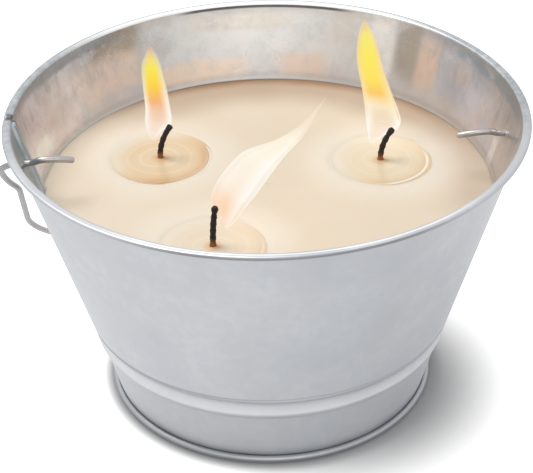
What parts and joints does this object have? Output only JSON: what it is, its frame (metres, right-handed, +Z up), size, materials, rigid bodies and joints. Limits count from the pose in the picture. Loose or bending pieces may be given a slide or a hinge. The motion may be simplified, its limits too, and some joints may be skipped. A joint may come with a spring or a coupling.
{
  "type": "candle bucket",
  "caption": "Tapered sheet metal bucket with a rolled rim, a swaged waist and a swinging wire bail, filled with candle wax that holds upright wicks.",
  "frame": {"origin": "on the floor, under the centre of the bucket's round foot ring", "axes": "+X along the line through the bail's two pivots, +Y towards the side where the bail hangs at rest, +Z up along the bucket's own axis"},
  "size_m": [0.207, 0.2, 0.118],
  "materials": {
    "galvanised_steel": "matt spangled zinc grey",
    "steel_wire": "dull drawn wire",
    "wax": "creamy satin",
    "molten_wax": "wet, clear amber at the edge",
    "wick_braid": "charred braid",
    "tab_metal": "bright thin sheet",
    "adhesive_pad": "foam pad"
  },
  "bodies": {
    "bucket": {"bucket_wall": "galvanised_steel", "bucket_bottom": "galvanised_steel", "wax_fill": "wax", "melt_pool_left": "molten_wax", "wick_left": "wick_braid", "wick_tab_left": "tab_metal", "wick_sticker_left": "adhesive_pad", "melt_pool_front": "molten_wax", "wick_front": "wick_braid", "wick_tab_front": "tab_metal", "wick_sticker_front": "adhesive_pad", "melt_pool_right": "molten_wax", "wick_right": "wick_braid", "wick_tab_right": "tab_metal", "wick_sticker_right": "adhesive_pad"},
    "bail": {"bail_handle": "steel_wire"}
  },
  "joints": [
    {"name": "bail_pivot", "type": "hinge", "parent": "bucket", "child": "bail", "pos_m": [0, 0, 0.1027], "axis": [1, 0, 0], "range_deg": [0, 273]}
  ]
}
